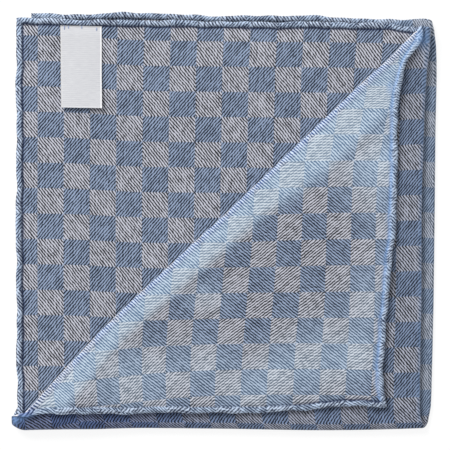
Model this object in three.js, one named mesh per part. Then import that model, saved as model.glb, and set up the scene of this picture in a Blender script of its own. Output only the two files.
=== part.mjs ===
import * as THREE from 'three';

// A pocket square of checked twill with rolled hems. It is folded in half and in half again, so four
// layers lie on each other, and the free corner of the top layer is turned back over the diagonal.
// Millimetres, +Z up, the origin under the middle of the folded square's box.
//
// The cloth laid out flat has the coordinates s, to the right, and t, upwards, with the two long folds
// along s = 0 and t = 0, and n is the height over the middle of its thickness. Three folds then bend the
// space that it lies in, one after the other: the corner goes under, the right half goes over the left
// half, and the lower half goes under the upper half.

// The cloth
const HALF = 165; // half of the 330 mm square
const SHEET = 1.0;
const LAYER_PITCH = 1.45; // from the middle of one layer to the middle of the next
const FOLD_LENGTH = 2.4; // cloth taken up by one long fold

// The rolled hem, a bead on the right side of the cloth
const HEM = { width: 2.8, crown: 1.5, squeezed: 0.95, foot: 0.35, plain: 3.6 };
const SQUEEZE = { from: 12, to: 30 }; // distance from a long fold over which the bead gets its height back
const HEM_ROOM = 1.2; // how much further apart two layers lie where a bead lies between them
const FOLD_FLANK = 78; // from here on to the right fold the gap between two layers stays as it is

// Where the gap between two layers begins to widen and where it has its full width, in distances from
// the middle towards a hem, and from the bottom fold upwards
const WIDENING = {
  leftHem: { from: 30, to: 70 },
  rightFold: { from: 40, to: 70 },
  turnedTop: { from: 44, to: 70 },
  topHem: { from: 32, to: 72 },
  bottomEnd: { from: 4, to: 36 },
  swell: { from: 0, to: 24 },
};

// The bottom fold's height on the page, and the middle of the folded square's box
const BOTTOM = -82.5;
const MIDDLE = { x: 0.25, y: -0.1 };

// The right fold, x against the distance y over the bottom fold, negative in the layers folded under
const RIGHT_FOLD = [
  { y: -166, x: 83.6 },
  { y: -160, x: 84.9 },
  { y: -138, x: 85.5 },
  { y: -60, x: 84.8 },
  { y: -30, x: 84.2 },
  { y: -6, x: 83.4 },
  { y: -2.4, x: 82.4 },
  { y: 0, x: 80.0 },
  { y: 4, x: 79.2 },
  { y: 12, x: 79.1 },
  { y: 24, x: 79.2 },
  { y: 50, x: 79.7 },
  { y: 92, x: 79.9 },
  { y: 120, x: 80.8 },
  { y: 134, x: 81.2 },
  { y: 145, x: 81.6 },
  { y: 153, x: 82.4 },
  { y: 166, x: 83.2 },
];

// The two side hems, x against t: the half that carries the label, and the half folded over it
const LABEL_SIDE = [
  { t: -165, x: -75.0 },
  { t: -50, x: -78.2 },
  { t: -20, x: -80.6 },
  { t: 0, x: -84.2 },
  { t: 165, x: -85.0 },
];
const FREE_SIDE = [
  { t: -165, x: -79.0 },
  { t: -40, x: -83.6 },
  { t: -12, x: -84.6 },
  { t: -3, x: -86.4 },
  { t: 1, x: -86.4 },
  { t: 6.5, x: -84.2 },
  { t: 10, x: -83.1 },
  { t: 14, x: -83.0 },
  { t: 19, x: -83.5 },
  { t: 37, x: -84.0 },
  { t: 58, x: -84.5 },
  { t: 92, x: -85.1 },
  { t: 120, x: -83.1 },
  { t: 145, x: -79.3 },
  { t: 165, x: -77.5 },
];

// The top hems, y against s: the upper two layers, and the two folded under them
const TOP_HEM = [
  { s: -165, y: 83.2 },
  { s: -120, y: 82.3 },
  { s: -60, y: 81.6 },
  { s: -16, y: 81.0 },
  { s: -5, y: 79.6 },
  { s: 3, y: 79.6 },
  { s: 6, y: 80.6 },
  { s: 9, y: 81.0 },
  { s: 12, y: 80.0 },
  { s: 15, y: 78.1 },
  { s: 19, y: 75.6 },
  { s: 24, y: 73.7 },
  { s: 32, y: 72.7 },
  { s: 43, y: 72.7 },
  { s: 74, y: 73.4 },
  { s: 94, y: 73.3 },
  { s: 110, y: 71.6 },
  { s: 148, y: 69.7 },
  { s: 165, y: 71.6 },
];
const UNDER_HEM = [
  { s: -165, y: 80.0 },
  { s: -28, y: 80.2 },
  { s: -4, y: 82.6 },
  { s: 0, y: 81.8 },
  { s: 4, y: 83.0 },
  { s: 18, y: 82.7 },
  { s: 54, y: 84.1 },
  { s: 100, y: 84.4 },
  { s: 124, y: 85.5 },
  { s: 150, y: 84.8 },
  { s: 165, y: 85.1 },
];

// The turned corner: its crease, d across the diagonal against w along it, and the radius of the bend
const CREASE = [
  { w: -118, d: 116.0 },
  { w: -110, d: 115.1 },
  { w: -103, d: 114.7 },
  { w: -94, d: 114.0 },
  { w: -84, d: 114.1 },
  { w: -60, d: 114.0 },
  { w: -6, d: 114.1 },
  { w: 13, d: 114.8 },
  { w: 57, d: 116.4 },
  { w: 90, d: 115.6 },
  { w: 103, d: 114.8 },
  { w: 108, d: 114.6 },
  { w: 112, d: 115.2 },
  { w: 118, d: 118.6 },
];
const BEND = { middle: 2.2, end: 0.95, reach: 116 };
const SETTLE = 10; // how far behind its crease the turned corner comes down on the cloth
const WAVE_START = 14; // how far behind its crease the turned corner's waves have their full height

// How far the bottom fold strays from a straight line, up to its pointed left end
const BOTTOM_FOLD = [
  { x: -88, rise: 3.4 },
  { x: -86, rise: 2.4 },
  { x: -84, rise: 1.2 },
  { x: -82, rise: 0.8 },
  { x: -78, rise: 0.9 },
  { x: -66, rise: 1.1 },
  { x: -50, rise: 0.7 },
  { x: 0, rise: 0.2 },
  { x: 36, rise: -0.4 },
  { x: 60, rise: -0.2 },
  { x: 86, rise: 0.6 },
];
const STRAY_REACH = 24; // how far over the bottom fold its straying dies out

// Soft swells of the upper layers, and waves of the turned corner, placed by hand
const SWELLS = [
  { x: -30, y: 45, wide: 34, tall: 20, height: 0.5 },
  { x: 28, y: 62, wide: 26, tall: 12, height: 0.4 },
  { x: -58, y: -10, wide: 14, tall: 30, height: 0.45 },
  { x: 30, y: -40, wide: 26, tall: 30, height: 0.35 },
];
const WAVES = [
  { x: 66, y: -20, wide: 12, tall: 8, height: 1.3 },
  { x: 40, y: -4, wide: 22, tall: 12, height: 0.6 },
  { x: 64, y: -72, wide: 10, tall: 9, height: 0.8 },
  { x: -20, y: -76, wide: 26, tall: 6, height: 0.5 },
];
// How far the label side sinks where nothing lies under it, to the left of x and above the bottom fold
const OVERHANG = { drop: 1.2, from: 81.5, to: 86, above: 50 };

// The sewn-in label, on the cloth's own coordinates
const LABEL = { s: -139.0, top: 161.4, long: 32.6, wide: 16.6, thick: 1.0, lean: 0.016, curl: 0.8 };
const LABEL_CLEARANCE = 0.35;
const LABEL_GRID = { columns: 4, rows: 8 };

// Grid of the cloth
const SPAN_CELL = 12.5;
const HEM_LINES = [0, 0.4, 1.4, 2.3, HEM.width, HEM.plain];
const FOLD_STEPS = 6;
const BESIDE_FOLD = [0.15, 0.45]; // extra lines beside a long fold, in shares of a cell
const BEND_LEVELS = [0, 1 / 7, 2 / 7, 3 / 7, 4 / 7, 5 / 7, 6 / 7, 1, 1.6, 2.6];
const LEVEL_SNAP = 0.02; // a grid corner this near to a level of the bend lies on it
const PLACE_DIGITS = 5; // corners alike to this many digits are one corner

const DIAGONAL = Math.SQRT1_2;
const CLOTH_COLOUR = 0x8194b5;
const LABEL_COLOUR = 0xe4e4ea;
const ROUGHNESS = 0.85;

const clamp = THREE.MathUtils.clamp;
const smooth = THREE.MathUtils.smoothstep;
const lerp = THREE.MathUtils.lerp;

// A smooth curve through a table's rows: value against key, held level past both ends.
function curve(rows, key, value, at) {
  const last = rows.length - 1;
  const x = clamp(at, rows[0][key], rows[last][key]);
  let i = 0;
  while (i < last - 1 && x > rows[i + 1][key]) i += 1;
  const slope = (k) => {
    const a = rows[Math.max(k - 1, 0)];
    const b = rows[Math.min(k + 1, last)];
    return (b[value] - a[value]) / (b[key] - a[key]);
  };
  const width = rows[i + 1][key] - rows[i][key];
  const u = (x - rows[i][key]) / width;
  const start = (1 + 2 * u) * (1 - u) ** 2 * rows[i][value];
  const end = u * u * (3 - 2 * u) * rows[i + 1][value];
  const bend = u * (1 - u) * width * ((1 - u) * slope(i) - u * slope(i + 1));
  return start + end + bend;
}

// The sum of round humps at a place.
function humps(rows, x, y) {
  return rows.reduce((sum, row) => {
    const far = ((x - row.x) / row.wide) ** 2 + ((y - row.y) / row.tall) ** 2;
    return sum + row.height * Math.exp(-far);
  }, 0);
}

const rightFold = (y) => curve(RIGHT_FOLD, 'y', 'x', y);
const crease = (w) => curve(CREASE, 'w', 'd', w);
const bendRadius = (w) => lerp(BEND.end, BEND.middle, clamp(1 - (w / BEND.reach) ** 2, 0, 1));

// How far, from 0 to 1, the gap has widened at a distance.
const widened = (where, at) => smooth(at, WIDENING[where].from, WIDENING[where].to);

// Distance over the bottom fold of a point at y before the lower half goes under.
const heightOverFold = (y) => (y >= 0 ? y : Math.max(-y - FOLD_LENGTH, 0));

// Gap between the two halves of a pair, from middle to middle: wider where a hem's bead lies in it.
function pairGap(farRight, y, isUpper) {
  const x = Math.min(farRight, FOLD_FLANK);
  const leftHem = widened('leftHem', -x);
  const overFold = y - BOTTOM;
  if (isUpper) {
    const upperRight = widened('rightFold', x) * widened('turnedTop', y);
    const lowerLeft = leftHem * (1 - widened('bottomEnd', overFold));
    return LAYER_PITCH + HEM_ROOM * Math.max(upperRight, lowerLeft);
  }
  const topHem = widened('topHem', y);
  const swell = humps(SWELLS, x, y) * widened('swell', overFold);
  return LAYER_PITCH + HEM_ROOM * (1 - (1 - topHem) * (1 - leftHem)) + swell;
}

// Where the point s, t lies in the unfolded cloth, pulled to its real outline: q to the right of the
// right fold and y over the bottom fold, both in the distances of the folded square.
function pulled(s, t) {
  let y;
  if (t >= 0) y = (t / HALF) * (curve(TOP_HEM, 's', 'y', s) - BOTTOM);
  else if (t > -FOLD_LENGTH) y = t;
  else {
    const share = (-t - FOLD_LENGTH) / (HALF - FOLD_LENGTH);
    y = -FOLD_LENGTH - share * (curve(UNDER_HEM, 's', 'y', s) - BOTTOM);
  }
  const fold = rightFold(y);
  if (s <= 0) return { q: (s / HALF) * (fold - curve(LABEL_SIDE, 't', 'x', t)) - FOLD_LENGTH, y };
  if (s < FOLD_LENGTH) return { q: s - FOLD_LENGTH, y };
  const share = (s - FOLD_LENGTH) / (HALF - FOLD_LENGTH);
  return { q: share * (fold - curve(FREE_SIDE, 't', 'x', t)), y };
}

// How far a point is past the crease of the turned corner, in turns of its bend: 0 to 1 is in the bend.
function pastCrease(s, t) {
  const { q, y } = pulled(s, t);
  const w = (q - y) * DIAGONAL;
  return ((q + y) * DIAGONAL - crease(w)) / (Math.PI * bendRadius(w));
}

// First fold: the corner past the crease goes round its bend and lies under the cloth.
function foldCorner({ q, y, z }) {
  const w = (q - y) * DIAGONAL;
  const along = (q + y) * DIAGONAL;
  const radius = bendRadius(w);
  const past = along - crease(w);
  if (past <= 0) return { q, y, z };
  const angle = Math.min(past / radius, Math.PI);
  const behind = past - Math.PI * radius;
  let reach = (radius + z) * Math.sin(angle);
  let height = -radius + (radius + z) * Math.cos(angle);
  if (behind > 0) {
    reach = -behind;
    height = -LAYER_PITCH - z - (2 * radius - LAYER_PITCH) / (1 + (behind / SETTLE) ** 2);
  }
  const d = crease(w) + reach;
  const turned = { q: (d + w) * DIAGONAL, y: (d - w) * DIAGONAL, z: height };
  if (behind > 0) {
    const wave = humps(WAVES, rightFold(turned.y) - turned.q, BOTTOM + turned.y);
    turned.z -= wave * smooth(behind, 0, WAVE_START);
  }
  return turned;
}

// Second fold: what is right of the right fold goes over to the left.
function foldOver({ q, y, z }) {
  const fold = rightFold(y);
  const past = q + FOLD_LENGTH;
  if (past <= 0) return { x: past, y, z };
  const level = BOTTOM + heightOverFold(y);
  if (q >= 0) return { x: -q, y, z: pairGap(fold - q, level, y >= 0) - z };
  const angle = (Math.PI * past) / FOLD_LENGTH;
  const radius = pairGap(fold, level, y >= 0) / 2;
  return { x: (radius - z) * Math.sin(angle), y, z: radius - (radius - z) * Math.cos(angle) };
}

// Third fold: what is below the bottom fold goes under and up again.
function foldUnder({ x, y, z }) {
  if (y >= 0) return { x, y, z };
  if (y <= -FOLD_LENGTH) return { x, y: heightOverFold(y), z: -LAYER_PITCH - z };
  const radius = LAYER_PITCH / 2;
  const angle = (-Math.PI * y) / FOLD_LENGTH;
  return { x, y: -(radius + z) * Math.sin(angle), z: -radius + (radius + z) * Math.cos(angle) };
}

// The folded place of the cloth point s, t at the height n over its middle.
function folded(s, t, n) {
  const turned = foldCorner({ ...pulled(s, t), z: n });
  const under = foldUnder(foldOver(turned));
  const x = rightFold(turned.y) + under.x;
  const level = BOTTOM + Math.max(under.y, 0);
  const lift = pairGap(x, level, false) + LAYER_PITCH + SHEET / 2;
  const drop = OVERHANG.drop * smooth(-x, OVERHANG.from, OVERHANG.to) * smooth(level, 0, OVERHANG.above);
  const y = BOTTOM + under.y + curve(BOTTOM_FOLD, 'x', 'rise', x) * (1 - smooth(under.y, 0, STRAY_REACH));
  return new THREE.Vector3(x - MIDDLE.x, y - MIDDLE.y, under.z + lift - drop);
}

// Height of the hem's bead, which is pressed flatter where it goes round a long fold.
function beadCrown(s, t) {
  const alongHem = Math.min(Math.abs(s), Math.abs(t));
  return lerp(HEM.squeezed, HEM.crown, smooth(alongHem, SQUEEZE.from, SQUEEZE.to));
}

// The cloth's two faces, n against the distance from the edge: a half round bead, then the plain sheet.
function rightSide(s, t) {
  const edge = HALF - Math.max(Math.abs(s), Math.abs(t));
  if (edge >= HEM.plain) return SHEET / 2;
  if (edge >= HEM.width) {
    return lerp(HEM.foot, SHEET / 2, (edge - HEM.width) / (HEM.plain - HEM.width));
  }
  const round = Math.sqrt(Math.max(1 - (1 - (2 * edge) / HEM.width) ** 2, 0));
  return lerp(HEM.foot, beadCrown(s, t), round);
}

function wrongSide(s, t) {
  const edge = HALF - Math.max(Math.abs(s), Math.abs(t));
  const share = clamp((2 * edge) / HEM.width, 0, 1);
  return lerp(HEM.foot, -SHEET / 2, Math.sqrt(1 - (1 - share) ** 2));
}

// Grid lines over one side of the cloth: close together in the hems and in the fold.
function gridLines(foldFrom) {
  const lines = [];
  const inner = HALF - HEM.plain;
  const spans = [
    { from: -inner, to: foldFrom },
    { from: foldFrom + FOLD_LENGTH, to: inner },
  ];
  HEM_LINES.forEach((w) => lines.push(-HALF + w));
  spans.forEach(({ from, to }, index) => {
    const cells = Math.round((to - from) / SPAN_CELL);
    const foldEnd = index === 0 ? to : from;
    const cell = (index === 0 ? -1 : 1) * ((to - from) / cells);
    const beside = BESIDE_FOLD.map((share) => foldEnd + cell * share);
    const between = [];
    for (let k = 1; k < cells; k += 1) between.push(foldEnd + cell * k);
    lines.push(...[...beside, ...between].sort((a, b) => a - b));
    if (index === 0) {
      for (let k = 0; k <= FOLD_STEPS; k += 1) lines.push(foldFrom + (FOLD_LENGTH * k) / FOLD_STEPS);
    }
  });
  [...HEM_LINES].reverse().forEach((w) => lines.push(HALF - w));
  return lines;
}

// Cuts a polygon of [s, t, past] corners in two along past = level, sharing the cut points.
function sliced(polygon, level) {
  const below = [];
  const above = [];
  polygon.forEach((corner, i) => {
    const next = polygon[(i + 1) % polygon.length];
    const here = corner[2] - level;
    const there = next[2] - level;
    if (here <= 0) below.push(corner);
    if (here >= 0) above.push(corner);
    if (here * there < 0) {
      const [a, b] = here < 0 ? [corner, next] : [next, corner];
      const share = (level - a[2]) / (b[2] - a[2]);
      const cut = [lerp(a[0], b[0], share), lerp(a[1], b[1], share), level];
      below.push(cut);
      above.push(cut);
    }
  });
  return [below, above].filter((piece) => piece.length > 2);
}

// A corner of the grid, moved onto a level of the bend where it all but touches one.
function gridCorner(s, t) {
  const past = pastCrease(s, t);
  const level = BEND_LEVELS.find((value) => Math.abs(value - past) < LEVEL_SNAP);
  return [s, t, level ?? past];
}

// The flat cloth as polygons: the grid's cells, sliced along the bend of the turned corner.
function flatPolygons() {
  const across = gridLines(0);
  const upwards = gridLines(-FOLD_LENGTH);
  let polygons = [];
  for (let i = 0; i + 1 < across.length; i += 1) {
    for (let j = 0; j + 1 < upwards.length; j += 1) {
      const [s0, s1, t0, t1] = [across[i], across[i + 1], upwards[j], upwards[j + 1]];
      polygons.push([gridCorner(s0, t0), gridCorner(s1, t0), gridCorner(s1, t1), gridCorner(s0, t1)]);
    }
  }
  BEND_LEVELS.forEach((level) => {
    polygons = polygons.flatMap((polygon) => sliced(polygon, level));
  });
  return polygons;
}

// Collects triangles over shared corners into one closed geometry.
class Skin {
  constructor() {
    this.places = [];
    this.faces = [];
    this.known = new Map();
  }

  corner(key, place) {
    if (!this.known.has(key)) {
      this.known.set(key, this.places.length / 3);
      this.places.push(...place().toArray());
    }
    return this.known.get(key);
  }

  fan(corners) {
    for (let k = 1; k + 1 < corners.length; k += 1) this.faces.push(corners[0], corners[k], corners[k + 1]);
  }

  geometry() {
    const geometry = new THREE.BufferGeometry();
    geometry.setAttribute('position', new THREE.Float32BufferAttribute(this.places, 3));
    geometry.setIndex(this.faces);
    geometry.computeVertexNormals();
    return geometry;
  }
}

function clothGeometry() {
  const skin = new Skin();
  const cornerOn = (face, height) => ([s, t]) => {
    const isEdge = Math.max(Math.abs(s), Math.abs(t)) >= HALF;
    const key = `${s.toFixed(PLACE_DIGITS)} ${t.toFixed(PLACE_DIGITS)}`;
    return skin.corner(isEdge ? key : `${key} ${face}`, () => folded(s, t, height(s, t)));
  };
  flatPolygons().forEach((polygon) => {
    skin.fan(polygon.map(cornerOn('right', rightSide)));
    skin.fan(polygon.map(cornerOn('wrong', wrongSide)).reverse());
  });
  return skin.geometry();
}

// The label: a strip over the label side, sewn down at its top and curling up a little at its free end.
function labelGeometry() {
  const skin = new Skin();
  const { columns, rows } = LABEL_GRID;
  const place = (i, j, side) => {
    const down = j / rows;
    const s = LABEL.s + LABEL.wide * (i / columns - 0.5) + LABEL.lean * LABEL.long * down;
    const t = LABEL.top - LABEL.long * down;
    const lift = SHEET / 2 + LABEL_CLEARANCE + LABEL.curl * down ** 3;
    return folded(s, t, lift + side * LABEL.thick);
  };
  const corner = (i, j, side) => skin.corner(`${i} ${j} ${side}`, () => place(i, j, side));
  for (let i = 0; i < columns; i += 1) {
    for (let j = 0; j < rows; j += 1) {
      skin.fan([corner(i, j, 1), corner(i, j + 1, 1), corner(i + 1, j + 1, 1), corner(i + 1, j, 1)]);
      skin.fan([corner(i, j, 0), corner(i + 1, j, 0), corner(i + 1, j + 1, 0), corner(i, j + 1, 0)]);
    }
  }
  const rim = [];
  for (let j = 0; j < rows; j += 1) rim.push([0, j]);
  for (let i = 0; i < columns; i += 1) rim.push([i, rows]);
  for (let j = rows; j > 0; j -= 1) rim.push([columns, j]);
  for (let i = columns; i > 0; i -= 1) rim.push([i, 0]);
  rim.forEach(([i, j], k) => {
    const [nextI, nextJ] = rim[(k + 1) % rim.length];
    skin.fan([corner(i, j, 0), corner(nextI, nextJ, 0), corner(nextI, nextJ, 1), corner(i, j, 1)]);
  });
  return skin.geometry();
}

function piece(name, geometry, colour) {
  const material = new THREE.MeshStandardMaterial({ color: colour, roughness: ROUGHNESS, metalness: 0 });
  const mesh = new THREE.Mesh(geometry, material);
  mesh.name = name;
  return mesh;
}

const pocketSquare = new THREE.Group();
pocketSquare.add(piece('cloth', clothGeometry(), CLOTH_COLOUR));
pocketSquare.add(piece('label', labelGeometry(), LABEL_COLOUR));

export default pocketSquare;
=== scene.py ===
"""A folded pocket square of checked twill with rolled hems, seen from straight above.

The cloth is one thin sheet, worked out from its own flat coordinates: s runs across the unfolded square
and t up it, both in millimetres from its middle, and n is the height over the middle of its thickness.
It is folded right half over left half, lower half under upper half, and the free corner of the top layer
is turned back over the diagonal. All sizes are in millimetres until a mesh is made.
"""

import bpy
import numpy as np
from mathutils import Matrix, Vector


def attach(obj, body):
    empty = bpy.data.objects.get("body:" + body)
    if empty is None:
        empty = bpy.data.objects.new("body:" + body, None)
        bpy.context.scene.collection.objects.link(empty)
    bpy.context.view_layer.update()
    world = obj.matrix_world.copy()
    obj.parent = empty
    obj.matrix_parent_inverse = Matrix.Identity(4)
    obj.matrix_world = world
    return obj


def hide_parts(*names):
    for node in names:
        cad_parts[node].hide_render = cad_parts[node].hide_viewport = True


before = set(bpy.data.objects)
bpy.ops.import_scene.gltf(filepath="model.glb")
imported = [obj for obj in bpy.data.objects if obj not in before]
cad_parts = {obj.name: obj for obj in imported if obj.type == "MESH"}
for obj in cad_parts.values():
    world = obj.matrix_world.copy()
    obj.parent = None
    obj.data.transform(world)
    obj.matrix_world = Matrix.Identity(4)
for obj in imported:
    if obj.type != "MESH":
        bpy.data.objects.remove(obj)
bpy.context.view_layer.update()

MM = 0.001

# The cloth
HALF = 165.0  # half of the 330 mm square
SHEET = 0.7  # a wool and silk twill, a little thicker than it is, so that its edges show
LAYER_PITCH = 1.45  # from the middle of one layer to the middle of the next
FOLD_LENGTH = 2.4  # cloth taken up by one long fold
BED = 0.5  # height of the middle of the lowest layer over the floor

# The rolled hem, a bead of cloth rolled over onto the right side and slip-stitched down
HEM_WIDTH = 2.5
HEM_CROWN = 1.5
HEM_SQUEEZED = 0.95  # the bead's height where it goes round a long fold
HEM_FOOT = 0.3
HEM_GROOVE = 0.0  # height of the cloth's face at the line of stitches beside the bead
HEM_PLAIN = 4.0  # from here inwards the sheet has its plain thickness
SQUEEZE = (12.0, 30.0)
STITCH_PITCH = 7.5
STITCH_PINCH = 0.16  # share of the bead's height that a stitch pulls in

# How much further apart two layers lie where a bead lies between them, and where that begins and ends
HEM_ROOM = 1.2
FOLD_FLANK = 78.0
NEAR_LEFT_HEM = (30.0, 70.0)
NEAR_RIGHT_FOLD = (40.0, 70.0)
NEAR_TURNED_TOP = (44.0, 70.0)
NEAR_TOP_HEM = (32.0, 72.0)
NEAR_BOTTOM_END = (4.0, 36.0)
SWELL_START = (0.0, 24.0)

# The bottom fold's height on the page, and the middle of the folded square's box
BOTTOM = -82.5
MIDDLE = (0.25, -0.1)

# The right fold: distance over the bottom fold, negative in the layers folded under, and x
RIGHT_FOLD = [
    (-166, 83.6), (-160, 84.9), (-138, 85.5), (-60, 84.8), (-30, 84.2), (-6, 83.4), (-2.4, 82.4),
    (0, 80.0), (4, 79.2), (12, 79.1), (24, 79.2), (50, 79.7), (92, 79.9), (120, 80.8), (134, 81.2),
    (145, 81.6), (153, 82.4), (166, 83.2),
]
# The side hem of the half that carries the label, and of the half folded over it: t and x
LABEL_SIDE = [(-165, -75.0), (-50, -78.2), (-20, -80.6), (0, -84.2), (165, -85.0)]
FREE_SIDE = [
    (-165, -79.0), (-40, -83.6), (-12, -84.1), (-6, -84.5), (-3.6, -85.8), (-2, -86.6), (0.6, -86.4),
    (3.4, -84.9), (6.5, -83.8), (10, -83.1),
    (14, -83.0), (19, -83.5), (37, -84.0), (58, -84.5), (92, -85.1), (120, -83.1), (145, -79.3),
    (165, -77.5),
]
# The top hem of the upper two layers, and of the two folded under them: s and y
TOP_HEM = [
    (-165, 83.2), (-120, 82.3), (-60, 81.6), (-16, 81.0), (-5, 79.6), (3, 79.6), (6, 80.6), (9, 81.0),
    (12, 80.0), (15, 78.1), (19, 75.6), (24, 73.7), (32, 72.7), (43, 72.7), (74, 73.4), (94, 73.3),
    (110, 71.6), (148, 69.7), (165, 71.6),
]
UNDER_HEM = [
    (-165, 80.0), (-28, 80.2), (-4, 82.6), (0, 81.8), (4, 83.0), (18, 82.7),
    (54, 84.1), (100, 84.4), (124, 85.5), (150, 84.8), (165, 85.1),
]
# The crease of the turned corner: place along the diagonal and distance across it
CREASE = [
    (-118, 116.0), (-110, 115.1), (-103, 114.7), (-94, 114.0), (-84, 114.1), (-60, 114.0), (-6, 114.1),
    (13, 114.8), (57, 116.4), (90, 115.6), (103, 114.8), (108, 114.6), (112, 115.2), (118, 118.6),
]
BEND_MIDDLE = 2.2  # radius of the turned corner's bend in the middle of the diagonal
BEND_END = 0.95  # and at its two ends
BEND_REACH = 116.0
SETTLE = 10.0  # how far behind its crease the turned corner comes down on the cloth
WAVE_START = 14.0

# The bottom fold's straying from a straight line: x and rise, which dies out over STRAY_REACH, and how its
# left end draws up to a point within TIP_REACH
BOTTOM_FOLD = [(-88, 0.5), (-82, 0.8), (-66, 1.1), (-50, 0.7), (0, 0.2), (36, -0.4), (60, -0.2), (86, 0.6)]
STRAY_REACH = 24.0
TIP_RISE = [(-88, 2.9), (-86, 1.9), (-84, 0.7), (-82, 0.0)]
TIP_REACH = (-0.5, 3.0)

# Soft swells of the upper layers and waves of the turned corner: x, y, reach across, reach up, height
SWELLS = [(-30, 45, 34, 20, 0.5), (28, 62, 26, 12, 0.4), (-58, -10, 14, 30, 0.45), (30, -40, 26, 30, 0.35)]
WAVES = [(66, -20, 12, 8, 1.3), (40, -4, 22, 12, 0.6), (64, -72, 10, 9, 0.8), (-20, -76, 26, 6, 0.5)]

# How far the label side sinks where nothing lies under it
OVERHANG_DROP = 1.2
OVERHANG = (81.5, 86.0)
OVERHANG_ABOVE = 50.0


def smooth(value, low, high):
    """0 below low, 1 above high, and 3u^2 - 2u^3 of the share u between them."""
    u = np.clip((value - low) / (high - low), 0.0, 1.0)
    return u * u * (3.0 - 2.0 * u)


def curve(rows, at):
    """A smooth curve through a table's rows, level past both ends: a cubic between two rows, with the
    slope at each row taken from its two neighbours."""
    key, value = np.array(rows, float).T
    before = np.maximum(np.arange(len(key)) - 1, 0)
    after = np.minimum(np.arange(len(key)) + 1, len(key) - 1)
    slope = (value[after] - value[before]) / (key[after] - key[before])
    x = np.clip(at, key[0], key[-1])
    i = np.searchsorted(key[1:-1], x)
    width = key[i + 1] - key[i]
    u = (x - key[i]) / width
    ends = (1 + 2 * u) * (1 - u) ** 2 * value[i] + u * u * (3 - 2 * u) * value[i + 1]
    return ends + u * (1 - u) * width * ((1 - u) * slope[i] - u * slope[i + 1])


def humps(rows, x, y):
    """The sum of round humps, each height * exp(-(dx / across)^2 - (dy / up)^2)."""
    total = np.zeros(np.broadcast(x, y).shape)
    for middle_x, middle_y, across, up, height in rows:
        total = total + height * np.exp(-(((x - middle_x) / across) ** 2) - ((y - middle_y) / up) ** 2)
    return total


def right_fold(y):
    return curve(RIGHT_FOLD, y)


def bend_radius(w):
    """From its middle value to its end value with the square of the place w along the diagonal."""
    return BEND_END + (BEND_MIDDLE - BEND_END) * np.clip(1 - (w / BEND_REACH) ** 2, 0, 1)


def height_over_fold(y):
    """Distance over the bottom fold of a point at y before the lower half goes under."""
    return np.where(y >= 0, y, np.maximum(-y - FOLD_LENGTH, 0))


def pair_gap(far_right, y, is_upper):
    """Gap between the two halves of a pair of layers, wider where a hem's bead lies in it."""
    x = np.minimum(far_right, FOLD_FLANK)
    left_hem = smooth(-x, *NEAR_LEFT_HEM)
    over_fold = y - BOTTOM
    upper_right = smooth(x, *NEAR_RIGHT_FOLD) * smooth(y, *NEAR_TURNED_TOP)
    lower_left = left_hem * (1 - smooth(over_fold, *NEAR_BOTTOM_END))
    upper = HEM_ROOM * np.maximum(upper_right, lower_left)
    top_hem = smooth(y, *NEAR_TOP_HEM)
    swell = humps(SWELLS, x, y) * smooth(over_fold, *SWELL_START)
    lower = HEM_ROOM * (1 - (1 - top_hem) * (1 - left_hem)) + swell
    return LAYER_PITCH + np.where(is_upper, upper, lower)


def pulled(s, t):
    """Where s, t lies in the unfolded cloth pulled to its real outline: q right of the right fold and y
    over the bottom fold, each the share of its half times the width or height that the hems leave."""
    above = (t / HALF) * (curve(TOP_HEM, s) - BOTTOM)
    share = (-t - FOLD_LENGTH) / (HALF - FOLD_LENGTH)
    below = -FOLD_LENGTH - share * (curve(UNDER_HEM, s) - BOTTOM)
    y = np.where(t >= 0, above, np.where(t > -FOLD_LENGTH, t, below))
    fold = right_fold(y)
    left = (s / HALF) * (fold - curve(LABEL_SIDE, t)) - FOLD_LENGTH
    right = (s - FOLD_LENGTH) / (HALF - FOLD_LENGTH) * (fold - curve(FREE_SIDE, t))
    return np.where(s <= 0, left, np.where(s < FOLD_LENGTH, s - FOLD_LENGTH, right)), y


def past_crease(q, y):
    """Distance past the crease of the turned corner, and the radius of its bend there."""
    w = (q - y) * np.sqrt(0.5)
    return (q + y) * np.sqrt(0.5) - curve(CREASE, w), bend_radius(w)


def fold_corner(q, y, z):
    """First fold: the corner past the crease goes round a half circle and lies under the cloth, coming
    down on it as 1 / (1 + (distance behind / SETTLE)^2)."""
    past, radius = past_crease(q, y)
    w = (q - y) * np.sqrt(0.5)
    angle = np.clip(past / radius, 0, np.pi)
    behind = past - np.pi * radius
    is_behind = behind > 0
    reach = np.where(is_behind, -behind, (radius + z) * np.sin(angle))
    settled = -LAYER_PITCH - z - (2 * radius - LAYER_PITCH) / (1 + (behind / SETTLE) ** 2)
    height = np.where(is_behind, settled, -radius + (radius + z) * np.cos(angle))
    d = curve(CREASE, w) + reach
    turned_q = np.where(past > 0, (d + w) * np.sqrt(0.5), q)
    turned_y = np.where(past > 0, (d - w) * np.sqrt(0.5), y)
    wave = humps(WAVES, right_fold(turned_y) - turned_q, BOTTOM + turned_y)
    wave = np.where(is_behind, wave * smooth(behind, 0, WAVE_START), 0)
    return turned_q, turned_y, np.where(past > 0, height - wave, z)


def fold_over(q, y, z):
    """Second fold: what is right of the right fold goes round it and over to the left."""
    fold = right_fold(y)
    level = BOTTOM + height_over_fold(y)
    past = q + FOLD_LENGTH
    radius = pair_gap(fold, level, y >= 0) / 2
    angle = np.pi * np.clip(past / FOLD_LENGTH, 0, 1)
    over = pair_gap(fold - q, level, y >= 0) - z
    bent_x = (radius - z) * np.sin(angle)
    bent_z = radius - (radius - z) * np.cos(angle)
    x = np.where(past <= 0, past, np.where(q >= 0, -q, bent_x))
    return x, y, np.where(past <= 0, z, np.where(q >= 0, over, bent_z))


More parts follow.
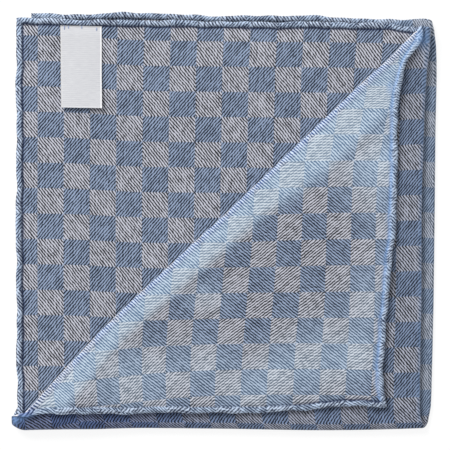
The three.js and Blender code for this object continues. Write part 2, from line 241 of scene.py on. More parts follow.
def fold_under(x, y, z):
    """Third fold: what is below the bottom fold goes round it, under and up again."""
    radius = LAYER_PITCH / 2
    angle = np.pi * np.clip(-y / FOLD_LENGTH, 0, 1)
    is_under = y <= -FOLD_LENGTH
    bent_y = np.where(is_under, height_over_fold(y), -(radius + z) * np.sin(angle))
    bent_z = np.where(is_under, -LAYER_PITCH - z, -radius + (radius + z) * np.cos(angle))
    return x, np.where(y >= 0, y, bent_y), np.where(y >= 0, z, bent_z)


def folded(s, t, n):
    """The folded place of the cloth point s, t at the height n over the cloth's middle."""
    turned_q, turned_y, turned_z = fold_corner(*pulled(s, t), n)
    x, y, z = fold_under(*fold_over(turned_q, turned_y, turned_z))
    x = right_fold(turned_y) + x
    level = BOTTOM + np.maximum(y, 0)
    lift = pair_gap(x, level, False) + LAYER_PITCH + BED
    drop = OVERHANG_DROP * smooth(-x, *OVERHANG) * smooth(level, 0, OVERHANG_ABOVE)
    stray = curve(BOTTOM_FOLD, x) * (1 - smooth(y, 0, STRAY_REACH))
    stray = stray + curve(TIP_RISE, x) * (1 - smooth(y, *TIP_REACH))
    return np.stack([x - MIDDLE[0], BOTTOM + y + stray - MIDDLE[1], z + lift - drop], axis=-1)


# Lines of the cloth's grid, in distances from an edge and in spacings of the parts that show and that don't
HEM_LINES = [0.0, 0.12, 0.4, 0.8, 1.4, 2.0, 2.4, 2.65, 2.8, 3.0, 3.4, 4.0]
SHOWN_CELL = 1.15
SIDE_CELL = 2.2
HIDDEN_CELL = 6.0
FOLD_STEPS = 6


def spaced(start, end, cell):
    """Equal steps of about one cell, without the last."""
    return np.linspace(start, end, max(int(round((end - start) / cell)), 1), endpoint=False)


def grid_lines(fold_from, cell_before, cell_after):
    """Lines over one side of the cloth: close together in both hems and round the fold."""
    hem = np.array(HEM_LINES)
    inner = HALF - hem[-1]
    fold_to = fold_from + FOLD_LENGTH
    before = spaced(-inner, fold_from, cell_before)
    bend = spaced(fold_from, fold_to, FOLD_LENGTH / FOLD_STEPS)
    after = spaced(fold_to, inner, cell_after)
    return np.concatenate([-HALF + hem[:-1], before, bend, after, HALF - hem[::-1]])


# Small unevenness of handwork: wavelength in mm, phase and share of each wave
UNEVEN = [(7.9, 0.4, 0.35), (12.7, 2.1, 0.45), (21.3, 4.4, 0.6), (47.0, 1.2, 0.5)]
HEM_SWAY = 0.3  # how far the hem sways from its line
HEM_PUCKER = 0.22  # how high the cloth puckers beside it
PUCKER_REACH = 5.0
REST_WAVE = 0.1  # how high the plain cloth waves


def uneven(along):
    """A sum of sines of unlike wavelengths, within about 1 either way."""
    return sum(share * np.sin(2 * np.pi * along / length + phase) for length, phase, share in UNEVEN)


def edge_distance(s, t):
    """Distance from the cloth's edge, and the place along it."""
    is_side = np.abs(s) > np.abs(t)
    along = np.where(is_side, t + 400.0 * np.sign(s), s + 900.0 * np.sign(t))
    return HALF - np.maximum(np.abs(s), np.abs(t)), along


def stitch_pull(along):
    """1 at each stitch of the hem and 0 between them: exp of the squared distance to the nearest one."""
    place = along / STITCH_PITCH + 0.12 * uneven(along * 1.7)
    away = (place - np.round(place)) * STITCH_PITCH
    return np.exp(-((away / 0.9) ** 2))


def bead_crown(s, t, along):
    """The bead's height: pressed flatter round a long fold, and pulled in at each stitch."""
    along_hem = np.minimum(np.abs(s), np.abs(t))
    crown = HEM_SQUEEZED + (HEM_CROWN - HEM_SQUEEZED) * smooth(along_hem, *SQUEEZE)
    return crown * (1 - STITCH_PINCH * stitch_pull(along)) * (1 + 0.05 * uneven(along * 0.8))


def right_side(s, t):
    """The right side's height: half an ellipse over the hem, the groove of its stitches, the plain sheet."""
    edge, along = edge_distance(s, t)
    round_part = np.sqrt(np.clip(1 - (1 - 2 * edge / HEM_WIDTH) ** 2, 0, 1))
    foot = HEM_FOOT + (HEM_GROOVE - HEM_FOOT) * smooth(edge, HEM_WIDTH / 2, HEM_WIDTH)
    bead = foot + (bead_crown(s, t, along) - foot) * round_part
    plain = HEM_GROOVE + (SHEET / 2 - HEM_GROOVE) * smooth(edge, HEM_WIDTH, HEM_PLAIN)
    return np.where(edge < HEM_WIDTH, bead, plain)


def wrong_side(s, t):
    """The wrong side's height: a quarter ellipse down from the edge, then the plain sheet."""
    edge, _ = edge_distance(s, t)
    share = np.clip(2 * edge / HEM_WIDTH, 0, 1)
    return HEM_FOOT + (-SHEET / 2 - HEM_FOOT) * np.sqrt(1 - (1 - share) ** 2)


def cloth_surface(s, t, height):
    """One face of the folded cloth: its hems sway, it puckers beside them and waves a little inside."""
    edge, along = edge_distance(s, t)
    near_hem = np.exp(-edge / PUCKER_REACH)
    sway = HEM_SWAY * uneven(along * 0.8) * np.exp(-edge / HEM_PLAIN)
    is_side = np.abs(s) > np.abs(t)
    swayed_s = s - np.sign(s) * np.where(is_side, sway, 0)
    swayed_t = t - np.sign(t) * np.where(is_side, 0, sway)
    far_from_fold = smooth(np.abs(s), 2, 8) * smooth(np.abs(t), 2, 8)
    pucker = HEM_PUCKER * uneven(along) * near_hem * smooth(edge, HEM_WIDTH, HEM_PLAIN + 2)
    wave = REST_WAVE * np.sin(s / 5.1 + 1.3 * np.sin(t / 13.0)) * np.sin(t / 6.3 + 1.1 * np.sin(s / 17.0))
    inside = smooth(edge, 4, 14)
    return folded(swayed_s, swayed_t, height + far_from_fold * (pucker + wave * inside))


COLUMNS_LABEL_HALF = [(-167.0, -1), (-156.3, 0), (-6.7, 14), (1.5, 15)]
ROWS_LABEL_HALF = [(0.0, -0.13), (94.6, 9), (167.1, 16)]
ROWS_FOLDED_UNDER = [(-170.0, -17.1), (-138.6, -14), (-15.9, -2), (-3.5, -1), (0.0, -0.1)]
LABEL_HEM_DROOP = 0.12  # checks by which the rows hang lower beside the label side's hem

# Where they lie on the half folded over it, by the distance q from the right fold and the height over the
# bottom fold: the columns lean over towards the top, and away from the fold the rows lie closer together
FIRST_COLUMN = 15.1  # column at the right fold
COLUMN_WIDTH = 10.83
COLUMN_LEAN = 0.55  # checks by which the columns have moved over at the upper one of LEAN_HEIGHTS
LEAN_HEIGHTS = (0.0, 150.0)
LEAN_REACH = (0.0, 40.0)
ROW_HEIGHT_AT_FOLD = 10.36
ROW_HEIGHT = 9.86
NEAR_FOLD = (5.0, 60.0)
ROW_BULGE = 0.33  # checks by which the rows far from the fold swing up, where they rise and where they fall
BULGE_ACROSS = (60.0, 145.0)
BULGE_RISE = (0.0, 30.0)
BULGE_FALL = (60.0, 160.0)
# Checks by which the first row sags over the bottom fold towards the fold's pointed left end: q and sag
FOLD_SAG = [(136.0, 0.0), (144.0, 0.15), (150.0, 0.3), (156.0, 0.5), (163.0, 0.8)]
SAG_REACH = (4.0, 20.0)


def lay(rows, at):
    """Straight lines between the rows of a table."""
    return np.interp(at, *np.array(rows, float).T)


def free_half(q, y):
    """Column and row on the half folded over: q / width plus the lean, and y / height plus the bulge, where
    1 / height goes in a straight line from its value at the right fold to its value further out."""
    lean = COLUMN_LEAN * smooth(y, *LEAN_HEIGHTS) * smooth(q, *LEAN_REACH)
    out = np.clip((q - NEAR_FOLD[0]) / (NEAR_FOLD[1] - NEAR_FOLD[0]), 0, 1)
    rows_per_mm = (1 - out) / ROW_HEIGHT_AT_FOLD + out / ROW_HEIGHT
    bulge = ROW_BULGE * smooth(q, *BULGE_ACROSS) * smooth(y, *BULGE_RISE) * (1 - smooth(y, *BULGE_FALL))
    return FIRST_COLUMN + q / COLUMN_WIDTH + lean, y * rows_per_mm + bulge


def lattice(s, t):
    """Which check a point of the cloth lies in: its column and row, with their shares as decimals."""
    q, y = pulled(s, t)
    free_column, free_row = free_half(q, y)
    column = np.where(s < 1.5, lay(COLUMNS_LABEL_HALF, s), free_column)
    droop = LABEL_HEM_DROOP * (1 - smooth(s, -150, -108))
    to_right = smooth(s, -40, 4)
    upper = (lay(ROWS_LABEL_HALF, t) - droop) * (1 - to_right) + free_row * to_right
    sag = lay(FOLD_SAG, q) * (1 - smooth(np.abs(y), *SAG_REACH))
    return column, np.where(t < 0, lay(ROWS_FOLDED_UNDER, t), upper) + sag


HEM_AROUND = 1.0  # how much more cloth is rolled round the bead than its width


def hem_lattice(s, t):
    """The lattice on the bead, whose cloth is rolled back over the check beside it."""
    edge, _ = edge_distance(s, t)
    back = (HEM_WIDTH - edge) * (1 + HEM_AROUND)
    is_side = np.abs(s) > np.abs(t)
    rolled_s = np.where(is_side, s - np.sign(s) * back, s)
    rolled_t = np.where(is_side, t, t - np.sign(t) * back)
    return lattice(rolled_s, rolled_t)


def mesh_object(name, places, faces, smooth_shaded=True):
    """A mesh object at the origin, from places in millimetres."""
    mesh = bpy.data.meshes.new(name)
    mesh.from_pydata((np.asarray(places) * MM).tolist(), [], np.asarray(faces).tolist())
    mesh.validate()
    if smooth_shaded:
        mesh.shade_smooth()
    obj = bpy.data.objects.new(name, mesh)
    bpy.context.scene.collection.objects.link(obj)
    return obj


def add_attribute(obj, name, domain, values):
    made = obj.data.attributes.new(name, "FLOAT", domain)
    made.data.foreach_set("value", values.astype(np.float32).ravel())


def add_uv(obj, name, pairs):
    obj.data.uv_layers.new(name=name).data.foreach_set("uv", pairs.astype(np.float32).ravel())


def cell_triangles(index):
    """Two triangles to a cell, split along the way that the turned corner's crease runs."""
    a, b = index[:-1, :-1].ravel(), index[1:, :-1].ravel()
    c, d = index[1:, 1:].ravel(), index[:-1, 1:].ravel()
    return np.stack([a, b, d, b, c, d], axis=1).reshape(-1, 3)


# Painted sheen where the turned corner catches the light in its threads: x, y, reach across, reach up,
# amount
GLEAM = [
    (-38, -64, 20, 14, 0.5), (-8, -58, 12, 10, 0.35), (10, -70, 14, 9, 0.42), (22, -60, 12, 10, 0.4),
    (40, -56, 14, 16, 0.5), (56, -54, 9, 10, 0.5), (58, -32, 8, 12, 0.42), (60, 10, 10, 12, 0.2),
    (58, 22, 14, 9, 0.45), (66, 34, 9, 16, 0.55), (66, -8, 6, 24, 0.2), (-8, -30, 8, 6, 0.4),
]
GLEAM_BAND = (1.5, 4.5)  # behind the crease: where the gleam along the diagonal begins and is full
GLEAM_FADE = (8.5, 15.0)  # and where it fades, in the middle of the diagonal
GLEAM_WIDTH = [(-100, 1.6), (-45, 1.5), (-15, 1.05), (60, 0.85), (110, 1.1)]  # place along it, times wider
FOLDED_UNDER_GLEAM = 0.3  # painted sheen on the wrong side of what is folded under, which shows along the right, lightening that strip


def gleam(s, t, place):
    """0 to 1 of painted sheen over the turned corner: a band along its crease and soft patches lower down.
    """
    q, y = pulled(s, t)
    past, radius = past_crease(q, y)
    behind = past - 0.5 * np.pi * radius
    wide = lay(GLEAM_WIDTH, (q - y) * np.sqrt(0.5))
    band = smooth(behind, *GLEAM_BAND) * (1 - smooth(behind / wide, *GLEAM_FADE))
    patches = humps(GLEAM, place[..., 0], place[..., 1]) * smooth(behind, *GLEAM_BAND)
    return np.clip(np.maximum(band, patches), 0, 1)


def behind_turn(s, t):
    """Millimetres of cloth behind the outermost line of the turned corner's bend, held within 12."""
    past, radius = past_crease(*pulled(s, t))
    return np.clip(past - 0.5 * np.pi * radius, -12, 12)


# How strongly the painted shade in the line of stitches shows along the turned corner's lower hem: t and
# share
LOWER_GROOVE = [(0, 0.6), (14, 0.15), (110, 0.2), (130, 0.8), (165, 1.0)]
GROOVE_WANDER = 0.22


def groove_shade(s, t):
    """Painted shade in the line of stitches beside the hem's bead: 1 in that line, which wanders a little, 0
    away from it.
    """
    edge, along = edge_distance(s, t)
    line = HEM_WIDTH + 0.15 + GROOVE_WANDER * uneven(along * 1.3)
    strength = np.where(s > np.abs(t), lay(LOWER_GROOVE, t), 1 - smooth(s, 2, 12))
    return strength * np.exp(-(((edge - line) / 0.5) ** 2))


# Painted highlights in light blue, small places where the threads lie across the light: x, y, reach, reach,
# amount
SKY_HIGHLIGHTS = [
    (81.0, 74.5, 3.0, 3.6, 0.85), (67.5, 54.6, 0.9, 2.6, 0.8),
    (-85.6, -81.0, 1.5, 1.7, 0.85), (-82.4, -80.1, 2.0, 0.95, 0.75), (-79.0, -79.4, 2.0, 0.6, 0.5),
]
FOLD_GLEAM = (1.9, 0.5)  # the painted highlight line on the right fold: place round it and width


def sky_highlight(s, t, place):
    """0 to 1 of painted light-blue highlight: those small places, the inner side of the turned top hem, and
    a line on the right fold. The places are on the upper layers only, not on what is folded under."""
    edge, along = edge_distance(s, t)
    on_top_hem = smooth(s, 2, 12) * (t > np.abs(s))
    line = HEM_WIDTH + 0.3 + 1.5 * GROOVE_WANDER * uneven(along * 0.9)
    beside = 0.62 * on_top_hem * np.exp(-(((edge - line) / 0.75) ** 2))
    on_fold = 0.3 * np.exp(-(((s - FOLD_GLEAM[0]) / FOLD_GLEAM[1]) ** 2)) * (t > 0)
    spots = humps(SKY_HIGHLIGHTS, place[..., 0], place[..., 1]) * (t > -FOLD_LENGTH)
    return np.clip(np.maximum(spots, np.maximum(beside, on_fold)), 0, 1)


STRIP_SHADE = (5.0, 9.0)  # over the bottom fold: where the turned corner's hem stops shading the strip
STRIP_LEFT = (60.0, 140.0)  # from the right fold: where the shade begins to deepen and is deepest
SHADE_RIGHT = 0.12
SHADE_DEEPENING = 0.66


def shade(s, t):
    """How far the cloth lies in the lee of the layers over it: along the bottom, and more so to the left."""
    q, y = pulled(s, t)
    strip = (1 - smooth(y, *STRIP_SHADE)) * (SHADE_RIGHT + SHADE_DEEPENING * smooth(q, *STRIP_LEFT))
    return np.where((s > 0) & (t > -FOLD_LENGTH), strip, 0.0)


def make_cloth():
    """The cloth: two faces on one grid of s and t, joined along the edge."""
    across = grid_lines(0.0, SIDE_CELL, SHOWN_CELL)
    upwards = grid_lines(-FOLD_LENGTH, HIDDEN_CELL, SHOWN_CELL)
    s, t = np.meshgrid(across, upwards, indexing="ij")
    right = cloth_surface(s, t, right_side(s, t))
    wrong = cloth_surface(s, t, wrong_side(s, t))
    index = np.arange(s.size).reshape(s.shape)
    on_rim = (np.maximum(np.abs(s), np.abs(t)) >= HALF).ravel()
    right_faces = cell_triangles(index)
    right_faces = right_faces[~on_rim[right_faces].all(axis=1)]
    turned_faces = right_faces[:, ::-1]
    wrong_faces = np.where(on_rim[turned_faces], turned_faces, turned_faces + s.size)
    places = np.concatenate([right.reshape(-1, 3), wrong.reshape(-1, 3)])
    faces = np.concatenate([right_faces, wrong_faces])
    used, faces = np.unique(faces, return_inverse=True)
    faces = faces.reshape(-1, 3)
    cloth = mesh_object("twill_square", places[used], faces)

    column, row = lattice(s, t)
    hem_column, hem_row = hem_lattice(s, t)
    flat = np.stack([column, row], axis=-1).reshape(-1, 2)
    hem = np.stack([hem_column, hem_row], axis=-1).reshape(-1, 2)
    edge, _ = edge_distance(s, t)
    in_hem = edge.ravel()[right_faces].mean(axis=1) < HEM_WIDTH
    right_uv = np.where(in_hem[:, None, None], hem[right_faces], flat[right_faces])
    wrong_uv = flat[turned_faces]
    add_uv(cloth, "checks", np.concatenate([right_uv, wrong_uv]))
    no_hem = np.zeros(len(wrong_faces))
    add_attribute(cloth, "reverse", "FACE", np.concatenate([in_hem, no_hem + 1]))
    add_attribute(cloth, "hem", "FACE", np.concatenate([in_hem, no_hem]))

    nowhere = np.zeros(s.shape)
    shares = {
        "gleam": (gleam(s, t, right), FOLDED_UNDER_GLEAM * ((s < FOLD_LENGTH) & (t < -FOLD_LENGTH))),
        "behind_turn": (behind_turn(s, t), nowhere - 12),
        "groove": (groove_shade(s, t), nowhere),
        "sky_highlight": (sky_highlight(s, t, right), sky_highlight(s, t, wrong)),
        "shade": (shade(s, t), shade(s, t)),
    }
    for name, (on_right, on_wrong) in shares.items():
        values = np.concatenate([on_right.ravel(), on_wrong.ravel()])[used]
        add_attribute(cloth, name, "POINT", values)
    return cloth


# The sewn-in label: its top edge under the hem's bead, its free end curling up
LABEL_S = -139.0
LABEL_TOP = 162.3
LABEL_LONG = 33.5
LABEL_WIDE = 16.6
LABEL_THICK = 0.35
LABEL_LEAN = 0.016
LABEL_LIFT = 0.12  # over the cloth at its sewn end
LABEL_CURL = 1.3  # how much higher its free end lies
LABEL_COLUMNS = 24
LABEL_ROWS = 44


def label_place(across, down, side):
    """The label's place at a share of its width and of its length: lift + curl * down^2, a little more at
    its lower corners, and side is 0 for the face on the cloth and 1 for the face that shows."""
    s = LABEL_S + LABEL_WIDE * (across - 0.5) + LABEL_LEAN * LABEL_LONG * down
    t = LABEL_TOP - LABEL_LONG * down
    corner = (2 * across - 1) ** 4 * smooth(down, 0.75, 1.0) * 0.25
    bow = 0.22 * np.sin(np.pi * across) * np.sin(np.pi * down)
    lift = SHEET / 2 + LABEL_LIFT + 0.35 * smooth(down, 0.0, 0.12) + LABEL_CURL * down**2.4 + corner + bow
    return folded(s, t, lift + side * LABEL_THICK)


def make_label():
    """Two faces on a grid of its width and length, closed by a strip round its rim."""
    across, down = np.meshgrid(
        np.linspace(0, 1, LABEL_COLUMNS + 1), np.linspace(0, 1, LABEL_ROWS + 1), indexing="ij"
    )
    upper, lower = (label_place(across, down, side).reshape(-1, 3) for side in (1, 0))
    index = np.arange(across.size).reshape(across.shape)
    a, b = index[:-1, :-1].ravel(), index[1:, :-1].ravel()
    c, d = index[1:, 1:].ravel(), index[:-1, 1:].ravel()
    faces = [np.stack([a, d, c, b], axis=1), np.stack([a, b, c, d], axis=1) + across.size]
    rim = np.concatenate([index[:-1, 0], index[-1, :-1], index[:0:-1, -1], index[0, :0:-1]])
    next_rim = np.roll(rim, -1)
    faces.append(np.stack([rim, next_rim, next_rim + across.size, rim + across.size], axis=1)[:, ::-1])
    faces = np.concatenate(faces)
    label = mesh_object("label_ribbon", np.concatenate([upper, lower]), faces)
    flat = np.stack([across * LABEL_WIDE, down * LABEL_LONG], axis=-1).reshape(-1, 2)
    add_uv(label, "ribbon", np.concatenate([flat, flat])[faces])
    return label


# The stitches that hold the label: share of its width and length, and half their length in mm
LABEL_STITCHES = [(0.1, 0.03, 0.9), (0.2, 0.02, 0.7), (0.88, 0.04, 0.7), (0.52, 0.02, 0.6)]
THREAD_RADIUS = 0.17


def make_label_stitches():
    """Short threads over the label's top edge: each a half turn of an ellipse with a round section."""
    places, faces = [], []
    turns = np.linspace(0, np.pi, 9)
    section = np.linspace(0, 2 * np.pi, 8, endpoint=False)
    for across, down, half_long in LABEL_STITCHES:
        middle = label_place(np.array(across), np.array(down), 1)
        line = np.stack([0 * turns, -half_long * np.cos(turns), 0.42 * np.sin(turns) - 0.2], axis=1)
        out = np.stack([0 * turns, -np.cos(turns), np.sin(turns)], axis=1)
        side = np.array([1.0, 0.25, 0.0])
        taper = THREAD_RADIUS * (0.35 + 0.65 * np.sin(turns))[:, None, None]
        ring = np.cos(section)[None, :, None] * side + np.sin(section)[None, :, None] * out[:, None, :]
        tube = middle + line[:, None, :] + taper * ring
        start = sum(len(p) for p in places)
        index = start + np.arange(tube[..., 0].size).reshape(tube.shape[:2])
        around = np.roll(index, -1, axis=1)
        faces += np.stack([index[:-1], index[1:], around[1:], around[:-1]], axis=-1).reshape(-1, 4).tolist()
        places.append(tube.reshape(-1, 3))
    return mesh_object("label_stitches", np.concatenate(places), faces)


# Materials


def linear(hex_colour):
    """An sRGB hex colour as linear red, green, blue and 1."""
    part = np.array([int(hex_colour[i : i + 2], 16) for i in (1, 3, 5)]) / 255
    return (*np.where(part <= 0.04045, part / 12.92, ((part + 0.055) / 1.055) ** 2.4), 1.0)


def node(tree, kind, links=None, **settings):
    """Adds a node, sets its properties, and links or sets its inputs, named or numbered."""
    made = tree.nodes.new(kind)
    for name, value in settings.items():
        setattr(made, name, value)
    for name, value in (links or {}).items():
        if isinstance(value, bpy.types.NodeSocket):
            tree.links.new(value, made.inputs[name])
        else:
            made.inputs[name].default_value = value
    return made


def new_material(name):
    """An empty material with a Principled surface, and its tree."""
    material = bpy.data.materials.new(name)
    material.use_nodes = True
    tree = material.node_tree
    tree.nodes.clear()
    surface = node(tree, "ShaderNodeBsdfPrincipled")
    output = node(tree, "ShaderNodeOutputMaterial")
    tree.links.new(surface.outputs[0], output.inputs["Surface"])
    return material, tree, surface


def maths(tree, operation, *values):
    """One arithmetic node on one to three values or sockets."""
    return node(tree, "ShaderNodeMath", dict(enumerate(values)), operation=operation).outputs[0]


def mixed(tree, share, first, second, blend="MIX"):
    """Two colours mixed by a share."""
    made = node(tree, "ShaderNodeMix", data_type="RGBA", blend_type=blend)
    for number, value in ((0, share), (6, first), (7, second)):
        if isinstance(value, bpy.types.NodeSocket):
            tree.links.new(value, made.inputs[number])
        else:
            made.inputs[number].default_value = value
    return made.outputs[2]


def attribute(tree, name):
    return node(tree, "ShaderNodeAttribute", attribute_name=name).outputs["Fac"]


# Twill lines to a check, along its width and up its height, and the finer ribs across its width
TWILL_LINES = (8.2, 6.5)
RIBS = 9.4
THREADS = 13.0  # yarns to a check that show as separate floats; the real ones lie twice as close

# How strongly each thing shows in the tone of a float, and how much the gleam changes that in pale checks
TWILL_DEPTH = 0.72
TWILL_LOST = 0.3
RIB_DEPTH = 0.16
RIB_GAINED = 0.34
LINE_SPREAD = 0.2
FLOAT_SPREAD = 0.6
FIBRE_SPREAD = 1.1
FIBRE_SCALE = 17.0
HEM_BLUE_AND_SHEEN = 0.7  # how far the hem's cord takes its bluish colours, partly its own and partly painted sheen
GROOVE_SHADE_STRENGTH = 0.85

PALE_DARK = linear("#12151C")
PALE_LIGHT = linear("#C8CAD6")
BLUE_DARK = linear("#0A1526")
BLUE_LIGHT = linear("#95A6C2")
# Painted sheen: the tones of the checks where the turned corner gleams
GLEAM_PALE_DARK = linear("#7E91A6")
GLEAM_PALE_LIGHT = linear("#DCE7F1")
GLEAM_BLUE_DARK = linear("#5E7A9A")
GLEAM_BLUE_LIGHT = linear("#CDDFF0")
# Painted shade: the darker, more saturated blue on the slope of the turned corner's bend
BEND_SHADE_DARK = linear("#35528A")
BEND_SHADE_LIGHT = linear("#D2E1F4")
# The hem's cord: partly its own bluish tone, partly painted sheen
HEM_DARK = linear("#132648")
HEM_LIGHT = linear("#CADDF5")
REVERSE_TINT = linear("#E2E6EC")
SHADE_TINT = linear("#93A6D6")
# Painted shade in the line of stitches beside each hem's bead
GROOVE_SHADE_BLUE = linear("#0E2148")
# Painted highlights in light blue
SKY_HIGHLIGHT_BLUE = linear("#86AEE2")
# Painted highlight along the outermost edge of the turned corner's bend
RIM_HIGHLIGHT_WHITE = linear("#FAF7F8")


def twill_material():
    """Wool and silk twill, piece woven in two yarns, blue and pale grey. In the blue checks the twill
    climbs to the right, in the pale ones to the left, and on the reverse the two colours change places.
    The eye sees fine light and dark lines about 1 mm apart, cut into beads by ribs across them, a gleam
    where the turned corner's threads lie across the light, and hems rolled into a bluish cord. Light and
    shade are painted into the colour: the gleam as painted sheen, the cord partly as painted sheen, a
    darker blue on the slope of the turned corner's bend as painted shade, a white painted highlight along
    its edge, painted shade in the lee of the layers and in the line of stitches beside each hem, and small
    painted highlights in light blue."""
    material, tree, surface = new_material("two_yarn_twill")

    def m(operation, *values):
        return maths(tree, operation, *values)

    def centred(value, width):
        return m("MULTIPLY", m("SUBTRACT", value, 0.5), width)

    def noise(scale, detail):
        return node(tree, "ShaderNodeTexNoise", {"Vector": uv, "Scale": scale, "Detail": detail}).outputs[0]

    def wave(count):
        return m("SINE", m("MULTIPLY", count, 2 * np.pi))

    def clamped(value):
        return node(tree, "ShaderNodeClamp", {0: value}).outputs[0]

    def step(value, low, high):
        made = node(
            tree, "ShaderNodeMapRange", {"Value": value, "From Min": low, "From Max": high},
            interpolation_type="SMOOTHSTEP",
        )
        return made.outputs[0]

    uv = node(tree, "ShaderNodeUVMap", uv_map="checks").outputs[0]
    place = node(tree, "ShaderNodeSeparateXYZ", {0: uv})
    column, row = place.outputs[0], place.outputs[1]
    names = ("gleam", "behind_turn", "hem", "reverse", "shade", "sky_highlight", "groove")
    gleams, behind, hem, reverse, shaded, blue_light, groove = (attribute(tree, name) for name in names)
    turn = m("MULTIPLY", step(behind, -2.0, -1.0), m("SUBTRACT", 1.0, step(behind, 1.8, 4.2)))

    # Checks: odd ones are blue on the right side, and the lines of even ones lean the other way
    odd = m("FLOORED_MODULO", m("ADD", m("FLOOR", column), m("FLOOR", row)), 2.0)
    is_blue = m("ABSOLUTE", m("SUBTRACT", odd, reverse))
    is_pale = m("SUBTRACT", 1.0, is_blue)
    leaning = m("MAXIMUM", odd, m("GREATER_THAN", turn, 0.5))
    slope = m("SUBTRACT", 1.0, m("MULTIPLY", leaning, 2.0))
    across = m("ADD", column, centred(noise(2.3, 2.0), 0.09))
    rise = m("MULTIPLY", m("MULTIPLY", row, TWILL_LINES[1]), slope)
    count = m("ADD", m("MULTIPLY", across, TWILL_LINES[0]), rise)

    # The tone of one float: the line's wave, the rib's, the float's own tone, and its fibres
    line = m("FLOOR", m("ADD", count, 0.25))
    yarn = m("FLOOR", m("MULTIPLY", column, THREADS))
    float_number = node(tree, "ShaderNodeCombineXYZ", {0: line, 1: yarn})
    per_line = node(tree, "ShaderNodeTexWhiteNoise", {"W": line}, noise_dimensions="1D").outputs[0]
    per_float = node(
        tree, "ShaderNodeTexWhiteNoise", {"Vector": float_number.outputs[0]}, noise_dimensions="2D"
    ).outputs[0]
    speckle = m("ADD", centred(per_float, FLOAT_SPREAD), centred(noise(FIBRE_SCALE, 1.0), FIBRE_SPREAD))
    pale_gleam = m("MULTIPLY", gleams, is_pale)
    rib_depth = m("ADD", RIB_DEPTH, m("MULTIPLY", pale_gleam, RIB_GAINED))
    twill_depth = m("SUBTRACT", TWILL_DEPTH, m("MULTIPLY", pale_gleam, TWILL_LOST))
    ribbed = m("MULTIPLY", wave(m("MULTIPLY", across, RIBS)), rib_depth)
    twilled = m("MULTIPLY", wave(count), twill_depth)
    lines = m("ADD", m("ADD", twilled, ribbed), m("ADD", centred(per_line, LINE_SPREAD), 0.5))
    light = clamped(m("ADD", lines, speckle))

    plain_pale = mixed(tree, light, PALE_DARK, PALE_LIGHT)
    plain = mixed(tree, is_blue, plain_pale, mixed(tree, light, BLUE_DARK, BLUE_LIGHT))
    # Painted sheen: lighter, softer tones where the turned corner gleams
    sheen_pale_tones = mixed(tree, light, GLEAM_PALE_DARK, GLEAM_PALE_LIGHT)
    sheen_tones = mixed(tree, is_blue, sheen_pale_tones, mixed(tree, light, GLEAM_BLUE_DARK, GLEAM_BLUE_LIGHT))
    colour = mixed(tree, gleams, plain, sheen_tones)
    colour = mixed(tree, reverse, colour, mixed(tree, 1.0, colour, REVERSE_TINT, "MULTIPLY"))
    # Painted shade on the slope of the turned corner's bend, stronger in blue checks
    bend_shade = m("MULTIPLY", turn, m("ADD", m("MULTIPLY", is_blue, 0.4), 0.5))
    colour = mixed(tree, bend_shade, colour, mixed(tree, light, BEND_SHADE_DARK, BEND_SHADE_LIGHT))
    # The hem's bluish cord, partly painted sheen
    cord = clamped(m("ADD", m("MULTIPLY", light, 0.8), m("ADD", m("MULTIPLY", speckle, 0.8), 0.06)))
    colour = mixed(tree, m("MULTIPLY", hem, HEM_BLUE_AND_SHEEN), colour, mixed(tree, cord, HEM_DARK, HEM_LIGHT))
    colour = mixed(tree, shaded, colour, mixed(tree, 1.0, colour, SHADE_TINT, "MULTIPLY"))
    # Painted shade in the line of stitches beside each hem's bead
    colour = mixed(tree, m("MULTIPLY", groove, GROOVE_SHADE_STRENGTH), colour, GROOVE_SHADE_BLUE)
    # Painted highlights in light blue, broken up by the speckle
    patchy = m("MULTIPLY", blue_light, clamped(m("ADD", m("MULTIPLY", speckle, 0.5), 0.75)))
    colour = mixed(tree, patchy, colour, SKY_HIGHLIGHT_BLUE)
    # Painted highlight: a white line along the outermost edge of the turned corner's bend, stronger in pale
    # checks
    rim = m("MULTIPLY", step(behind, -1.2, 0.0), m("SUBTRACT", 1.0, step(behind, 0.15, 0.75)))
    colour = mixed(tree, m("MULTIPLY", rim, m("ADD", m("MULTIPLY", is_pale, 0.75), 0.2)), colour, RIM_HIGHLIGHT_WHITE)
    tree.links.new(colour, surface.inputs["Base Color"])

    bump = node(tree, "ShaderNodeBump", {"Height": light, "Strength": 0.5, "Distance": 0.00012})
    tree.links.new(bump.outputs[0], surface.inputs["Normal"])
    surface.inputs["Roughness"].default_value = 0.75
    surface.inputs["Specular IOR Level"].default_value = 0.25
    surface.inputs["Sheen Weight"].default_value = 0.12
    surface.inputs["Sheen Roughness"].default_value = 0.5
    return material


RIBBON_WHITE = linear("#D6D7DA")
RIBBON_SHADE = linear("#C6C7CC")
RIBBON_EDGE = linear("#ECECEE")
RIBBON_PITCH = 0.8  # its weft ribs lie 0.25 mm apart, too fine to show, and are drawn this coarse
SELVEDGE = 0.7


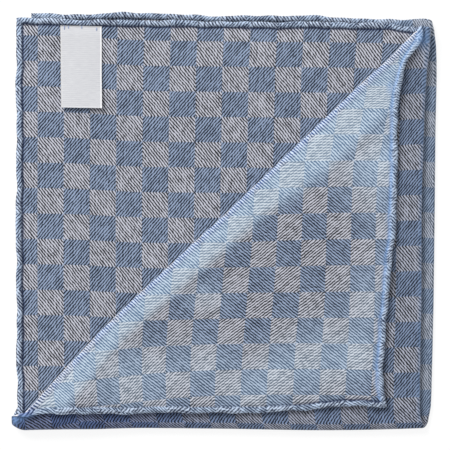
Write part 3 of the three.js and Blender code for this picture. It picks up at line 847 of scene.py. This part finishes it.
def ribbon_material():
    """Woven polyester satin ribbon, blank: smooth and faintly ribbed across, with brighter firm edges."""
    material, tree, surface = new_material("woven_label_satin")
    uv = node(tree, "ShaderNodeUVMap", uv_map="ribbon").outputs[0]
    place = node(tree, "ShaderNodeSeparateXYZ", {0: uv})
    rib = maths(tree, "SINE", maths(tree, "MULTIPLY", place.outputs[1], 2 * np.pi / RIBBON_PITCH))
    stretched = node(tree, "ShaderNodeMapping", {"Vector": uv, "Scale": (0.35, 4.0, 1.0)}).outputs[0]
    slubs = node(tree, "ShaderNodeTexNoise", {"Vector": stretched, "Scale": 1.0, "Detail": 2.0}).outputs[0]
    tone = maths(tree, "ADD", maths(tree, "MULTIPLY", rib, 0.12), slubs)
    tone = node(tree, "ShaderNodeMapRange", {"Value": tone, "From Min": 0.3, "From Max": 0.75}).outputs[0]
    colour = mixed(tree, tone, RIBBON_SHADE, RIBBON_WHITE)
    from_middle = maths(tree, "ABSOLUTE", maths(tree, "SUBTRACT", place.outputs[0], LABEL_WIDE / 2))
    half = LABEL_WIDE / 2
    limits = {"Value": from_middle, "From Min": half - SELVEDGE, "From Max": half - SELVEDGE / 2}
    edge = node(tree, "ShaderNodeMapRange", limits).outputs[0]
    tree.links.new(mixed(tree, edge, colour, RIBBON_EDGE), surface.inputs["Base Color"])
    bump = node(tree, "ShaderNodeBump", {"Height": tone, "Strength": 0.3, "Distance": 0.00005})
    tree.links.new(bump.outputs[0], surface.inputs["Normal"])
    surface.inputs["Roughness"].default_value = 0.45
    surface.inputs["Specular IOR Level"].default_value = 0.4
    surface.inputs["Sheen Weight"].default_value = 0.1
    return material


def thread_material():
    """Blue sewing thread, spun polyester: matt and evenly coloured, with faint light fibres."""
    material, tree, surface = new_material("sewing_thread")
    place = node(tree, "ShaderNodeTexCoord").outputs["Object"]
    fibres = node(tree, "ShaderNodeTexNoise", {"Vector": place, "Scale": 6000.0}).outputs[0]
    tree.links.new(mixed(tree, fibres, linear("#6F86B8"), linear("#AFBFDF")), surface.inputs["Base Color"])
    surface.inputs["Roughness"].default_value = 0.7
    return material


def floor_material():
    """White acrylic lit from below, a light table: it glows softly, so shadows on it stay faint."""
    material, tree, surface = new_material("backlit_white_acrylic")
    surface.inputs["Base Color"].default_value = linear("#747474")
    surface.inputs["Emission Color"].default_value = (1.0, 1.0, 1.0, 1.0)
    surface.inputs["Emission Strength"].default_value = 0.86
    surface.inputs["Roughness"].default_value = 0.9
    surface.inputs["Specular IOR Level"].default_value = 0.1
    return material


cloth = make_cloth()
cloth.data.materials.append(twill_material())
label = make_label()
label.data.materials.append(ribbon_material())
stitches = make_label_stitches()
stitches.data.materials.append(thread_material())
for piece in (cloth, label, stitches):
    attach(piece, "root")
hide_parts("cloth")
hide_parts("label")

# The stage: a light table under the cloth, soft light from the upper left, a camera straight above
FLOOR_SIZE = 4000.0
FRAME_WIDE = 184.2  # what 450 pixels show
VIEW_MIDDLE = (0.14, -1.37)
CAMERA_HEIGHT = 4000.0

half_floor = FLOOR_SIZE / 2
corners = [(x * half_floor, y * half_floor, 0) for x, y in ((-1, -1), (1, -1), (1, 1), (-1, 1))]
floor = mesh_object("light_table", corners, [(0, 1, 2, 3)], smooth_shaded=False)
floor.data.materials.append(floor_material())

bpy.context.scene.view_settings.view_transform = "Standard"
world = bpy.data.worlds.new("studio")
bpy.context.scene.world = world
world.use_nodes = True
world.node_tree.nodes["Background"].inputs["Color"].default_value = (1, 1, 1, 1)
world.node_tree.nodes["Background"].inputs["Strength"].default_value = 0.55


def soft_light(name, place, size, power):
    """A square light at a place in metres, aimed at the middle of the cloth."""
    lamp = bpy.data.lights.new(name, "AREA")
    lamp.size = size
    lamp.energy = power
    obj = bpy.data.objects.new(name, lamp)
    bpy.context.scene.collection.objects.link(obj)
    obj.location = place
    obj.rotation_mode = "QUATERNION"
    direction = -np.array(place) / np.linalg.norm(place)
    obj.rotation_quaternion = Vector(direction).to_track_quat("-Z", "Y")
    return obj


soft_light("window_light", (-0.9, 1.1, 1.3), 0.9, 30.0)

camera = bpy.data.cameras.new("overhead")
camera.sensor_width = 36.0
camera.lens = camera.sensor_width * CAMERA_HEIGHT / FRAME_WIDE
camera.clip_end = 20.0
camera_object = bpy.data.objects.new("overhead", camera)
camera_object.location = (VIEW_MIDDLE[0] * MM, VIEW_MIDDLE[1] * MM, CAMERA_HEIGHT * MM)
bpy.context.scene.collection.objects.link(camera_object)
bpy.context.scene.camera = camera_object
